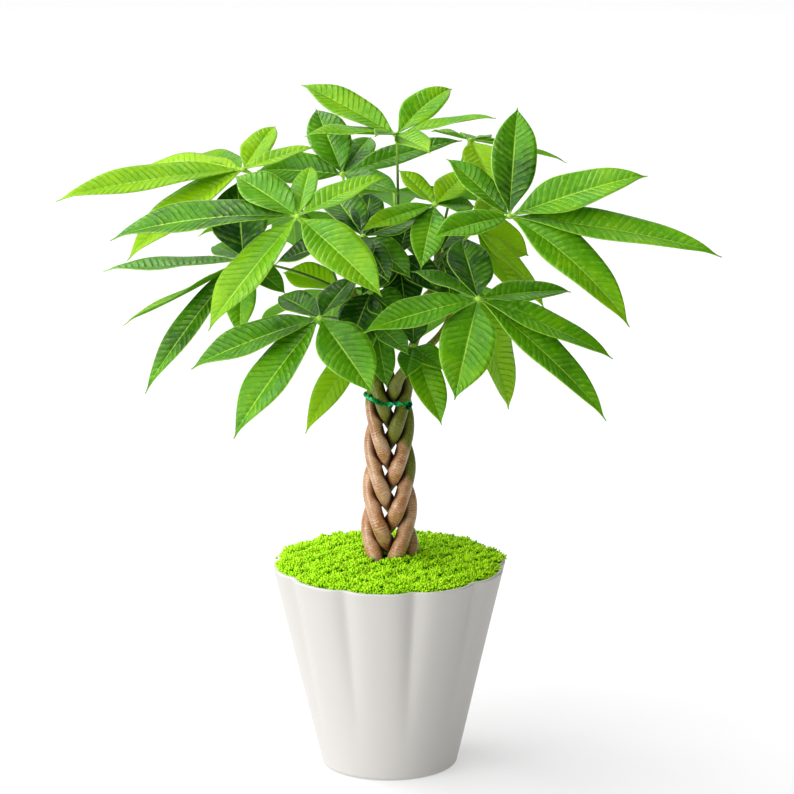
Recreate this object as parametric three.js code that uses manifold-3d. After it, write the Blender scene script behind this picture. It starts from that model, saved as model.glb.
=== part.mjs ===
// Potted money tree: five young stems braided into one trunk, held by a twist tie, with
// palmate leaves above and a scalloped pot of soil and moss below.
// Millimetres, +Z up, origin at the middle of the pot's underside, front towards -Y.

import * as THREE from "three";
import { mergeVertices } from "three/addons/utils/BufferGeometryUtils.js";
import Module from "manifold-3d";

const wasm = await Module();
wasm.setup();

const TURN = 2 * Math.PI;
const FIT_GAP = 0.3;
const MERGE_DISTANCE = 1e-4;

// Pot, with the levels at which its outer and inner walls are measured
const POT_HEIGHT = 90;
const POT_MOUTH_DIAMETER = 101.6;
const POT_BASE_DIAMETER = 58.4;
const POT_WALL = 2;
const POT_FLOOR = 2.5;
const POT_EDGE_ROUND = 2;
const POT_OUTER_LEVELS = [0, 0.7, POT_EDGE_ROUND, 22, 45, 68, POT_HEIGHT];
const POT_INNER_LEVELS = [POT_FLOOR, 34, 62, POT_HEIGHT + 1];
const LOBE_COUNT = 10;
const LOBE_STEPS = 6;
const LOBE_DEPTH = 2.6;
const LOBE_SHARPNESS = 3;
const LOBE_FADE_START = 8;
const FRONT_VALLEY_ANGLE = THREE.MathUtils.degToRad(-77.5);

// Soil and moss, with the height of the moss's lumps and swells and how fast they come
// and go to the right and to the back
const SOIL_TOP = 78;
const SOIL_LEVELS = [POT_FLOOR + FIT_GAP, 40, SOIL_TOP];
const FILL_LOBE_STEPS = 3;
const MOSS_EDGE_TOP = 89.4;
const MOSS_DOME = 3;
const MOSS_RINGS = 6;
const MOSS_LUMP = { height: 0.9, right: 0.83, back: 0.71, phase: 1.3 };
const MOSS_SWELL = { height: 0.72, right: 0.37, back: -0.52 };

// Braided stems
const STEM_COUNT = 5;
const STEM_SIDES = 7;
const STEM_FOOT = 46;
const BRAID_FOOT = 86;
const BRAID_TOP = 170;
const BRAID_PITCH = 92.5;
const BRAID_START = 150;
const BRAID_HALF_WIDTH = { foot: 9.3, top: 7.1 };
const STEM_RADIUS = { foot: 3.15, top: 2.5, tip: 1.2 };
const STEM_STEP = 5.5;
const SHOOT_RISE = 16;

// The waves that a stem's path is made of: how many times each swings in one pitch, and
// its cosine and sine as shares of the braid's half width
const BRAID_ACROSS = [
  [1, 0.8, 0.55],
  [3, 0.05, 0.05],
];
const BRAID_BEHIND = [
  [2, 0.6, -0.1],
  [4, -0.1, -0.15],
];
const BRAID_FORWARD = 0.15;

// Twist tie, with the points of its short tail measured from the end of its loop
const TIE_HEIGHT = 164;
const TIE_SLOPE = -0.24;
const TIE_RADIUS = 0.75;
const TIE_SIDES = 6;
const TIE_STEPS = 20;
const TIE_SEAM = 0.01;
const TIE_SEAM_ANGLE = THREE.MathUtils.degToRad(-42);
const TIE_TAIL_RADIUS = 0.975;
const TIE_TAIL = [
  [0.4, -0.4, 1.2],
  [0.3, -0.7, -0.5],
  [-0.3, -1.4, -2.2],
];

// Leaves
const BLADE_THICKNESS = 0.7;
const BLADE_ARCH = 0.02;
const BLADE_FOLD = THREE.MathUtils.degToRad(14);
const BLADE_WAVE = { height: 0.1, count: 1.5 };
const STALK_HALF_WIDTH = 0.7;
const HUB_RADIUS = 2.8;
const PETIOLE_RADIUS = 0.95;
const PETIOLE_SIDES = 4;
const PETIOLE_STEPS = 4;
const PETIOLE_BEND = { along: 0.4, rise: 0.7 };

// Share of the leaflet's length against share of its half width
const BLADE_OUTLINE = [
  [0, 0],
  [0.3, 0.88],
  [0.6, 1],
  [0.83, 0.57],
  [1, 0],
];

// Where each shoot ends, in the order of the stems
const SHOOT_TIPS = [
  [26, -10, 206],
  [-20, 9, 224],
  [-20, -13, 212],
  [4, 18, 229],
  [21, 11, 226],
];

// Each leaf: the stem that carries it, how far up the shoot its stalk starts, its hub,
// how its face leans from straight up, and its leaflets as tip x, y, z and width, with
// a leaflet's own further lean to the back and its own arch where they differ
const LEAVES = {
  leaf_front_left: {
    stem: 3,
    from: 0.94,
    hub: [-38, -45, 252],
    lean: [-0.25, -0.4],
    leaflets: [
      [-117, -40, 242, 22, 0, 0.045],
      [-75, -75, 211, 22],
      [-3, -78, 226, 22],
      [-1, -28, 266, 16],
      [-33, -15, 268, 12],
      [-65, -22, 265, 19],
    ],
  },
  leaf_far_left: {
    stem: 2,
    from: 0.92,
    hub: [-62, 0, 263],
    lean: [-0.15, -0.5],
    leaflets: [
      [-141, -12, 253, 18, 0, 0.022],
      [-111, -22, 229, 20, 0, 0.045],
      [-106, 30, 259, 19, 0.4],
      [-84, 45, 261, 14, 0.4],
      [-49, 28, 277, 14],
      [-32, 5, 272, 9],
    ],
  },
  leaf_top: {
    stem: 4,
    from: 0.97,
    hub: [3, 10, 276],
    lean: [0, -0.6],
    leaflets: [
      [-38, 35, 294, 16, 0, 0.01],
      [-36, 0, 278, 16, 0.55],
      [-6, -22, 282, 9],
      [17, -18, 274, 13],
      [45, 5, 285, 11, 0.45],
      [27, 35, 292, 16, 0, 0.06],
    ],
  },
  leaf_high_left: {
    stem: 2,
    from: 0.8,
    hub: [-20, 20, 257],
    lean: [-0.1, -0.7],
    leaflets: [
      [-32, 47, 281, 19],
      [-8, 50, 268, 15],
      [31, 22, 272, 12],
      [-57, 25, 258, 19],
      [4, -5, 254, 13],
    ],
  },
  leaf_high_right: {
    stem: 5,
    from: 0.96,
    hub: [35, 35, 269],
    lean: [0.1, 0.15],
    leaflets: [
      [18, 42, 272, 12],
      [40, 75, 262, 14],
      [62, 68, 260, 12],
      [77, 45, 258, 11],
      [44, 12, 253, 17, -0.5],
    ],
  },
  leaf_front_right: {
    stem: 5,
    from: 0.9,
    hub: [50, -35, 250],
    lean: [0.15, -0.6],
    leaflets: [
      [54, -5, 291, 20],
      [108, -25, 266, 21],
      [139, -40, 235, 18, 0, 0.025],
      [100, -60, 209, 23, 0, 0.075],
      [18, -62, 247, 15],
      [24, -20, 272, 14],
    ],
  },
  leaf_low_right: {
    stem: 1,
    from: 0.94,
    hub: [37, -45, 217],
    lean: [0.2, -0.55],
    leaflets: [
      [-11, -62, 207, 17],
      [27, -70, 180, 24],
      [51, -35, 167, 21],
      [91, -60, 169, 19, 0, 0.045],
      [94, -45, 192, 16],
      [77, -20, 215, 13],
      [30, -12, 236, 20],
      [9, -30, 226, 12, 0.3],
    ],
  },
  leaf_low_left: {
    stem: 3,
    from: 0.62,
    hub: [-29, -50, 210],
    lean: [-0.2, -0.5],
    leaflets: [
      [-83, -55, 190, 20, 0, 0.025],
      [-65, -75, 165, 21, 0, 0.035],
      [-7, -75, 184, 23],
      [-47, -20, 213, 14],
      [-15, -20, 221, 14],
    ],
  },
  leaf_side_left: {
    stem: 2,
    from: 0.64,
    hub: [-62, -10, 226],
    lean: [-0.2, -0.55],
    leaflets: [
      [-123, 10, 218, 15, 0.45, -0.01],
      [-113, -25, 202, 14, 0.75, -0.02],
      [-104, -30, 173, 14, 0, 0.04],
      [-63, -35, 198, 14],
      [-76, 20, 226, 12],
      [-65, 12, 256, 26],
      [-44, -12, 212, 13],
    ],
  },
  leaf_middle: {
    stem: 3,
    from: 0.8,
    hub: [-11, -24, 239],
    lean: [0, -0.5],
    leaflets: [
      [9, -35, 224, 16],
      [0, -49, 225, 12],
      [-14, -52, 232, 13],
      [-50, 6, 221, 21],
      [-27, 10, 254, 18],
      [-8, 6, 252, 15],
      [12, -6, 243, 16],
    ],
  },
  leaf_inner_right: {
    stem: 5,
    from: 0.82,
    hub: [19, -20, 252],
    lean: [0.1, -0.5],
    leaflets: [
      [-12, -45, 246, 11],
      [13, -50, 231, 15],
      [4, -5, 264, 10],
      [34, 0, 262, 14],
      [36, -8, 249, 16],
    ],
  },
  leaf_inner_left: {
    stem: 3,
    from: 0.36,
    hub: [-6, -30, 203],
    lean: [-0.1, -0.6],
    leaflets: [
      [-36, -40, 158, 15],
      [-16, -40, 188, 11],
      [-1, -38, 177, 12],
      [8, -52, 195, 11],
    ],
  },
  leaf_low_middle: {
    stem: 1,
    from: 0.42,
    hub: [10, -25, 192],
    lean: [0.1, -0.7],
    leaflets: [
      [22, -45, 163, 15],
      [7, -44, 183, 11],
      [23, -34, 184, 12],
      [10, -20, 211, 13],
    ],
  },
  leaf_inner_middle: {
    stem: 4,
    from: 0.86,
    hub: [4, -1, 226],
    lean: [0, -0.6],
    leaflets: [
      [7, -16, 203, 18],
      [22, -12, 212, 16],
      [-12, -14, 212, 16],
      [-4, 8, 237, 12],
      [10, 12, 245, 15],
    ],
  },
  leaf_inner_back: {
    stem: 5,
    from: 0.55,
    hub: [22, 28, 222],
    lean: [0.1, -0.6],
    leaflets: [
      [4, 26, 226, 18],
      [27, 22, 200, 20],
      [47, 36, 215, 17],
      [32, 44, 233, 15],
    ],
  },
  leaf_inner_low: {
    stem: 3,
    from: 0.5,
    hub: [-8, -24, 215],
    lean: [-0.1, -0.6],
    leaflets: [
      [-16, -38, 197, 20],
      [4, -33, 206, 17],
      [-2, -12, 224, 11],
    ],
  },
  leaf_side_right: {
    stem: 5,
    from: 0.66,
    hub: [37, 14, 234],
    lean: [0.35, -0.9],
    leaflets: [
      [60, 18, 222, 20],
      [55, 16, 205, 13],
      [68, 30, 196, 13],
      [60, -2, 215, 9, 0.4],
      [50, 50, 244, 14],
    ],
  },
  leaf_back: {
    stem: 4,
    from: 0.82,
    hub: [2, 56, 243],
    lean: [0, 0.45],
    leaflets: [
      [-40, 62, 236, 18],
      [-28, 98, 226, 20],
      [4, 113, 222, 22],
      [34, 98, 226, 20],
      [42, 64, 236, 17],
    ],
  },
  leaf_back_left: {
    stem: 2,
    from: 0.48,
    hub: [-42, 46, 234],
    lean: [-0.3, 0.3],
    leaflets: [
      [-72, 26, 230, 15],
      [-84, 52, 224, 18],
      [-72, 84, 212, 20],
      [-42, 92, 210, 20],
      [-18, 72, 220, 17],
    ],
  },
  leaf_low_back_left: {
    stem: 4,
    from: 0.55,
    hub: [-22, 42, 202],
    lean: [-0.2, 0.4],
    leaflets: [
      [-47, 58, 206, 17, -0.9],
      [-58, 62, 182, 20],
      [-28, 86, 172, 22],
      [2, 74, 180, 20],
      [4, 44, 190, 13],
    ],
  },
  leaf_low_back_right: {
    stem: 5,
    from: 0.4,
    hub: [30, 44, 204],
    lean: [0.2, 0.4],
    leaflets: [
      [13, 58, 176, 20],
      [28, 92, 176, 22],
      [58, 78, 178, 20],
      [64, 48, 188, 17],
      [44, 20, 196, 12],
    ],
  },
};

const FINISHES = {
  pot: { color: 0xdedad4, roughness: 0.55 },
  soil: { color: 0x4a3526, roughness: 0.95 },
  moss: { color: 0x93d311, roughness: 0.9 },
  bark: { color: 0xa9784e, roughness: 0.75 },
  tie: { color: 0x0c8a44, roughness: 0.3, metalness: 0.6 },
  leaf: { color: 0x4fae27, roughness: 0.4 },
};

function vector(point) {
  return new THREE.Vector3(...point);
}

function mix(from, to, share) {
  return from + (to - from) * THREE.MathUtils.clamp(share, 0, 1);
}

// A closed skin over rings of points, with the same diagonals on both faces of a blade
function loft(rings, capCorner = 0) {
  const count = rings[0].length;
  const at = (ring, corner) => ring * count + (corner % count);
  const index = [];
  for (let ring = 0; ring < rings.length - 1; ring += 1) {
    for (let corner = 0; corner < count; corner += 1) {
      const low = [at(ring, corner), at(ring, corner + 1)];
      const high = [at(ring + 1, corner), at(ring + 1, corner + 1)];
      if (corner < count / 2) {
        index.push(low[0], low[1], high[1], low[0], high[1], high[0]);
      } else {
        index.push(low[0], low[1], high[0], low[1], high[1], high[0]);
      }
    }
  }
  const last = rings.length - 1;
  for (let step = 1; step < count - 1; step += 1) {
    const first = capCorner + step;
    index.push(at(0, capCorner), at(0, first + 1), at(0, first));
    index.push(at(last, capCorner), at(last, first), at(last, first + 1));
  }
  const geometry = new THREE.BufferGeometry().setFromPoints(rings.flat());
  geometry.setIndex(index);
  return geometry;
}

// A closed mesh as a solid, turned the right way out
function solidOf(geometry) {
  const bare = geometry.clone();
  bare.deleteAttribute("normal");
  bare.deleteAttribute("uv");
  const merged = mergeVertices(bare, MERGE_DISTANCE);
  const vertProperties = new Float32Array(merged.attributes.position.array);
  const triVerts = new Uint32Array(merged.index.array);
  const corner = (vertex) => new THREE.Vector3().fromArray(vertProperties, 3 * vertex);
  let volume = 0;
  for (let side = 0; side < triVerts.length; side += 3) {
    const [a, b, c] = [0, 1, 2].map((step) => corner(triVerts[side + step]));
    volume += a.dot(b.cross(c));
  }
  if (volume < 0) {
    triVerts.reverse();
  }
  return new wasm.Manifold(new wasm.Mesh({ numProp: 3, vertProperties, triVerts }));
}

// The largest body of a solid, as a geometry
function geometryOf(solid) {
  const bodies = solid.decompose();
  const largest = bodies.reduce((best, body) => (body.volume() > best.volume() ? body : best));
  const mesh = largest.getMesh();
  const geometry = new THREE.BufferGeometry();
  geometry.setAttribute("position", new THREE.BufferAttribute(mesh.vertProperties, 3));
  geometry.setIndex(new THREE.BufferAttribute(mesh.triVerts, 1));
  geometry.computeVertexNormals();
  return geometry;
}

// A round bar along a list of centres, with a radius at each
function bar(centres, radii, sides) {
  const curve = new THREE.CatmullRomCurve3(centres);
  const steps = centres.length - 1;
  const frames = curve.computeFrenetFrames(steps, false);
  const rings = radii.map((radius, step) => {
    const middle = curve.getPointAt(step / steps);
    return Array.from({ length: sides }, (_, side) => {
      const angle = (TURN * side) / sides;
      return middle
        .clone()
        .addScaledVector(frames.normals[step], radius * Math.cos(angle))
        .addScaledVector(frames.binormals[step], radius * Math.sin(angle));
    });
  });
  return loft(rings);
}

// How deep the scallops cut in at an angle, 0 on a lobe and 1 in a valley
function valley(angle) {
  const lobes = ((angle - FRONT_VALLEY_ANGLE) / TURN) * LOBE_COUNT;
  const fromValley = Math.abs(lobes - Math.round(lobes)) * 2;
  return (1 - fromValley) ** LOBE_SHARPNESS;
}

// The pot's outer wall, moved inwards by a wall's thickness where asked
function potRadius(z, angle, inwards = 0) {
  const rise = z / POT_HEIGHT;
  const round = mix(POT_BASE_DIAMETER, POT_MOUTH_DIAMETER, rise) / 2;
  const fade = THREE.MathUtils.smoothstep(z, LOBE_FADE_START, POT_HEIGHT);
  const edge = Math.max(0, 1 - z / POT_EDGE_ROUND);
  return round - LOBE_DEPTH * fade * valley(angle) - POT_EDGE_ROUND * edge ** 2 - inwards;
}

// One level ring of the pot's scalloped outline
function potRing(z, inwards, lobeSteps = LOBE_STEPS, shrink = 1) {
  const count = LOBE_COUNT * lobeSteps;
  return Array.from({ length: count }, (_, step) => {
    const angle = FRONT_VALLEY_ANGLE + (TURN * step) / count;
    const radius = potRadius(z, angle, inwards) * shrink;
    return new THREE.Vector3(radius * Math.cos(angle), radius * Math.sin(angle), z);
  });
}

function potSolid() {
  const outside = solidOf(loft(POT_OUTER_LEVELS.map((z) => potRing(z, 0))));
  const inside = solidOf(loft(POT_INNER_LEVELS.map((z) => potRing(z, POT_WALL))));
  return outside.subtract(inside);
}

// The sum of a path's waves at a turn
function swing(waves, turn) {
  return waves.reduce((sum, [rate, cosine, sine]) => {
    return sum + cosine * Math.cos(rate * turn) + sine * Math.sin(rate * turn);
  }, 0);
}

// Where a stem's centre runs in the flat braid: slowly over the front from an edge to the
// middle, then quickly behind the others to the far edge
function braidPoint(stem, z) {
  const level = Math.max(z, BRAID_FOOT);
  const share = (level - BRAID_FOOT) / (BRAID_TOP - BRAID_FOOT);
  const size = mix(BRAID_HALF_WIDTH.foot, BRAID_HALF_WIDTH.top, share);
  const turn = TURN * ((BRAID_START - level) / BRAID_PITCH + stem / STEM_COUNT);
  const across = swing(BRAID_ACROSS, turn);
  const behind = swing(BRAID_BEHIND, turn) - BRAID_FORWARD;
  return new THREE.Vector3(-size * across, size * behind, z);
}

// The green shoot that a stem grows into above the tie
function shootCurve(stem) {
  const start = braidPoint(stem, BRAID_TOP);
  const leaving = start.clone().sub(braidPoint(stem, BRAID_TOP - 1));
  const tip = vector(SHOOT_TIPS[stem]);
  return new THREE.CubicBezierCurve3(
    start,
    start.clone().addScaledVector(leaving, SHOOT_RISE),
    tip.clone().add(new THREE.Vector3(0, 0, -SHOOT_RISE)),
    tip,
  );
}

function stemSolid(stem, extra = 0) {
  const centres = [];
  const radii = [];
  for (let z = STEM_FOOT; z < BRAID_TOP - STEM_STEP / 2; z += STEM_STEP) {
    const share = (z - BRAID_FOOT) / (BRAID_TOP - BRAID_FOOT);
    centres.push(braidPoint(stem, z));
    radii.push(mix(STEM_RADIUS.foot, STEM_RADIUS.top, share) + extra);
  }
  const shoot = shootCurve(stem);
  const steps = Math.round(shoot.getLength() / STEM_STEP);
  for (let step = 0; step <= steps; step += 1) {
    centres.push(shoot.getPointAt(step / steps));
    radii.push(mix(STEM_RADIUS.top, STEM_RADIUS.tip, Math.sqrt(step / steps)) + extra);
  }
  return solidOf(bar(centres, radii, STEM_SIDES));
}

function soilSolid(stemHoles) {
  const rings = SOIL_LEVELS.map((z) => potRing(z, POT_WALL + FIT_GAP, FILL_LOBE_STEPS));
  return solidOf(loft(rings)).subtract(stemHoles);
}

// A layer of moss with a lumpy, slightly domed top
function mossSolid(stemHoles) {
  const inwards = POT_WALL + FIT_GAP;
  const bottom = potRing(SOIL_TOP + FIT_GAP, inwards, FILL_LOBE_STEPS);
  const rings = [bottom];
  for (let step = 0; step < MOSS_RINGS; step += 1) {
    const share = 1 - step / MOSS_RINGS;
    const ring = potRing(MOSS_EDGE_TOP, inwards, FILL_LOBE_STEPS, share);
    ring.forEach((point) => {
      const lump = Math.sin(point.x * MOSS_LUMP.right + MOSS_LUMP.phase)
        * Math.cos(point.y * MOSS_LUMP.back);
      const swell = Math.sin(point.x * MOSS_SWELL.right + point.y * MOSS_SWELL.back);
      const inside = Math.sqrt(1 - share ** 2);
      point.z += (MOSS_DOME + MOSS_LUMP.height * lump + MOSS_SWELL.height * swell) * inside;
    });
    rings.push(ring);
  }
  return solidOf(loft(rings)).subtract(stemHoles);
}

// The loop touches whichever stem stands out furthest at each angle
function tieSolid() {
  const reach = STEM_RADIUS.top + TIE_RADIUS + 3 * FIT_GAP;
  const loop = [];
  for (let step = 0; step <= TIE_STEPS; step += 1) {
    const angle = TIE_SEAM_ANGLE + TURN * mix(TIE_SEAM, 1 - TIE_SEAM, step / TIE_STEPS);
    const outwards = new THREE.Vector3(Math.cos(angle), Math.sin(angle), 0);
    const height = TIE_HEIGHT + TIE_SLOPE * BRAID_HALF_WIDTH.top * outwards.x;
    const centres = Array.from({ length: STEM_COUNT }, (_, stem) => braidPoint(stem, height));
    const outermost = centres.reduce((best, centre) => {
      return centre.dot(outwards) > best.dot(outwards) ? centre : best;
    });
    loop.push(outermost.clone().addScaledVector(outwards, reach));
  }
  const tail = TIE_TAIL.map((offset) => loop[0].clone().add(vector(offset)));
  const ring = solidOf(bar(loop, loop.map(() => TIE_RADIUS), TIE_SIDES));
  return ring.add(solidOf(bar(tail, tail.map(() => TIE_TAIL_RADIUS), TIE_SIDES)));
}

// A leaflet: an arched spine, a blade folded up on both sides of it and slightly waved
function leafletSolid(hub, lean, [x, y, z, width, turnedBack = 0, arch = BLADE_ARCH]) {
  const face = new THREE.Vector3(lean[0], lean[1] + turnedBack, 1);
  const tip = new THREE.Vector3(x, y, z);
  const rise = 2 * arch * hub.distanceTo(tip);
  const middle = hub.clone().lerp(tip, 0.5).add(new THREE.Vector3(0, 0, rise));
  const spine = new THREE.QuadraticBezierCurve3(hub, middle, tip);
  const rings = BLADE_OUTLINE.map(([share, spread]) => {
    const along = spine.getTangent(share);
    const side = new THREE.Vector3().crossVectors(along, face).normalize();
    const up = new THREE.Vector3().crossVectors(side, along);
    const half = Math.max((width / 2) * spread, STALK_HALF_WIDTH);
    const edge = (way) => {
      const wave = BLADE_WAVE.height * Math.sin(TURN * BLADE_WAVE.count * share + way);
      return spine
        .getPoint(share)
        .addScaledVector(side, way * half * Math.cos(BLADE_FOLD))
        .addScaledVector(up, Math.abs(way) * half * (Math.sin(BLADE_FOLD) + wave));
    };
    const line = [-1, 0, 1].map(edge);
    const top = line.map((point) => point.clone().addScaledVector(up, BLADE_THICKNESS / 2));
    const bottom = line.map((point) => point.clone().addScaledVector(up, -BLADE_THICKNESS / 2));
    return [...top, ...bottom.reverse()];
  });
  return solidOf(loft(rings, 1));
}

// A leaf: its stalk from the shoot, a small hub, and the leaflets sunk into the hub
function leafSolid({ stem, from, hub, lean, leaflets }, stemHoles) {
  const start = shootCurve(stem - 1).getPointAt(from);
  const end = vector(hub);
  const bend = start.clone().lerp(end, PETIOLE_BEND.along);
  bend.z = mix(start.z, end.z, PETIOLE_BEND.rise);
  const stalk = new THREE.QuadraticBezierCurve3(start, bend, end).getPoints(PETIOLE_STEPS);
  const knob = new THREE.OctahedronGeometry(HUB_RADIUS).translate(...hub);
  let solid = solidOf(bar(stalk, stalk.map(() => PETIOLE_RADIUS), PETIOLE_SIDES));
  solid = solid.add(solidOf(knob));
  for (const leaflet of leaflets) {
    solid = solid.add(leafletSolid(end, lean, leaflet));
  }
  return solid.subtract(stemHoles);
}

const tree = new THREE.Group();

function addPart(name, solid, finish) {
  const mesh = new THREE.Mesh(geometryOf(solid), new THREE.MeshStandardMaterial(finish));
  mesh.name = name;
  tree.add(mesh);
}

const stems = Array.from({ length: STEM_COUNT }, (_, stem) => stemSolid(stem));
const stemHoles = stems
  .map((_, stem) => stemSolid(stem, FIT_GAP))
  .reduce((all, hole) => all.add(hole));

addPart("pot", potSolid(), FINISHES.pot);
addPart("soil", soilSolid(stemHoles), FINISHES.soil);
addPart("moss", mossSolid(stemHoles), FINISHES.moss);
stems.forEach((solid, stem) => addPart(`stem_${stem + 1}`, solid, FINISHES.bark));
addPart("twist_tie", tieSolid(), FINISHES.tie);
for (const [name, leaf] of Object.entries(LEAVES)) {
  addPart(name, leafSolid(leaf, stemHoles), FINISHES.leaf);
}

export default tree;
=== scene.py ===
"""Potted money tree: the finished look of each piece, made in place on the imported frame.

Sizes are in metres, +Z is up and the front of the plant faces -Y.
"""

import math

import bpy
import numpy as np
from bpy.props import FloatProperty, FloatVectorProperty, IntProperty, PointerProperty
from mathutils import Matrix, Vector


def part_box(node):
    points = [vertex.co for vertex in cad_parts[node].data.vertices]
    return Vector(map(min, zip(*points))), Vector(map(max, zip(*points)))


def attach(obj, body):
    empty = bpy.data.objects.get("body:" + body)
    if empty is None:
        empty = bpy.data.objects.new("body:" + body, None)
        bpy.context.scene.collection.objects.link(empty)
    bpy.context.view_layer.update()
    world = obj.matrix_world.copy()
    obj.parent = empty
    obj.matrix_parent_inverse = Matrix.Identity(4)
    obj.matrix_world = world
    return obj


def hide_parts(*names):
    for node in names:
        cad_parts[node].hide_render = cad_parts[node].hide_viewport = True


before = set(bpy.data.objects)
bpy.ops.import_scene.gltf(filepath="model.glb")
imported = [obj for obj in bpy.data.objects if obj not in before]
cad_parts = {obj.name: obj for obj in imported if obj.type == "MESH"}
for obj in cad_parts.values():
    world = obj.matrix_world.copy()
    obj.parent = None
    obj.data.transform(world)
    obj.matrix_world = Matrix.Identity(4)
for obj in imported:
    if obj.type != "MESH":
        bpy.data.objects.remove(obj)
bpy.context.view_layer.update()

bl_info = {
    "name": "Potted Money Tree",
    "version": (1, 0, 0),
    "blender": (4, 5, 0),
    "location": "3D View > Sidebar > Money Tree",
    "description": "Makes a braided money tree in a scalloped pot of moss, piece by piece",
    "category": "Add Mesh",
}

TURN = 2 * math.pi

# Pot
POT_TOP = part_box("pot")[1].z
POT_FLOOR = 0.0025
POT_EDGE_ROUND = 0.002
POT_SIDES = 240
POT_RIM_ROUND = 0.0007
POT_LEVEL_STEP = 0.003
LOBE_COUNT = 10
LOBE_SHARPNESS = 3.4
VALLEY_ROUND = 0.07
LOBE_FADE_START = 0.008
FRONT_VALLEY = math.radians(-77.5)

# Moss
MOSS_EDGE = 0.0894
MOSS_DOME = 0.003
MOSS_GAP = 0.0003
# Each wave in the moss: its height, its rates per metre and, for lumps, where it starts
MOSS_LUMP = (0.0009, 830, 710, 1.3)
MOSS_SWELL = (0.00072, 370, -520)
MOSS_CRUMBLE = (0.0003, 2900, 1700, 2700)
MOSS_BED_CELLS = 90
MOSS_BED_DEPTH = 0.011
MOSS_BED_SINK = 0.0006
MOSS_FRONT_INSET = 0.0006
MOSS_SEED = 11
MOUND_WIDTH = 0.015
# How much darker the moss is painted round the trunk, as the stems' shadow, and how far out that
# reaches
TRUNK_SHADE = (1.7, 0.0115)
TRUNK_CLEARANCE = 0.0038
TUFT_FINGERS = 4
TUFT_LEAN = 0.65
LEANING_EDGE = 0.86

# Braided stems
STEM_COUNT = 5
STEM_SIDES = 20
STEM_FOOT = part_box("stem_1")[0].z
BURIED_STEP = 0.004
SHOWN_FOOT = 0.084
SHOWN_STEP = 0.0005
BRAID_FOOT = 0.086
BRAID_TOP = 0.170
BRAID_PITCH = 0.0925
BRAID_START = 0.150
BRAID_WIDTH = (0.0093, 0.0071)
# Waves of a stem's path across the braid and behind it: rate, cosine and sine of each
BRAID_ACROSS = ((1, 0.8, 0.55), (3, 0.05, 0.05))
BRAID_BEHIND = ((2, 0.6, -0.1), (4, -0.1, -0.15))
BRAID_FORWARD = 0.15
SHOOT_RISE = 0.016
SHOOT_TIPS = (
    (0.026, -0.010, 0.206),
    (-0.020, 0.009, 0.224),
    (-0.020, -0.013, 0.212),
    (0.004, 0.018, 0.229),
    (0.021, 0.011, 0.226),
)
# How fast bark turns green to the right, to the back and upwards, the range over which it
# does, and how much earlier each stem does
YOUTH_SLOPE = (1.6, 2.2, 1.0)
YOUTH_RANGE = (0.132, 0.152)
STEM_YOUTH = (0, 0, 0.01, 0, 0.016)

# Twist tie
TIE_HEIGHT = 0.163
TIE_SLOPE = -0.24
TIE_STEPS = 260
TIE_SIDES = 8
TIE_SEAM = 0.01
TIE_SEAM_ANGLE = math.radians(-42)
TIE_BLUR = 13
TIE_TAIL = ((0.0002, -0.0004, 0.0008), (0, -0.0008, -0.0004), (-0.0008, -0.0012, -0.0014))
TAIL_STEPS = 60
TAIL_TWISTS = 5

# Leaves
BLADE_ARCH = 0.02
BLADE_FOLD = math.radians(14)
BLADE_WAVE = (0.1, 1.5)
BLADE_ACROSS = 12
BLADE_CROWDING = 1.25
LEAST_HALF_WIDTH = 0.00015
FOOT_HALF_WIDTH = 0.0006
TIP_START = 0.86
ROWS_PER_VEIN = 2
VEIN_COUNTS = (11, 28)
VEIN_SLANT = 0.65
GROOVE_WIDTH = 0.0006
PETIOLE_BEND = (0.4, 0.7)
LEAFLET_DEFAULTS = (0, 0, BLADE_ARCH)

# Share of a leaflet's length against share of its half width
BLADE_OUTLINE = (
    (0, 0.02), (0.05, 0.09), (0.14, 0.4), (0.24, 0.74), (0.36, 0.95), (0.48, 1), (0.6, 0.96),
    (0.72, 0.8), (0.82, 0.54), (0.88, 0.34), (0.93, 0.16), (0.965, 0.05), (1, 0.015),
)
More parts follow.
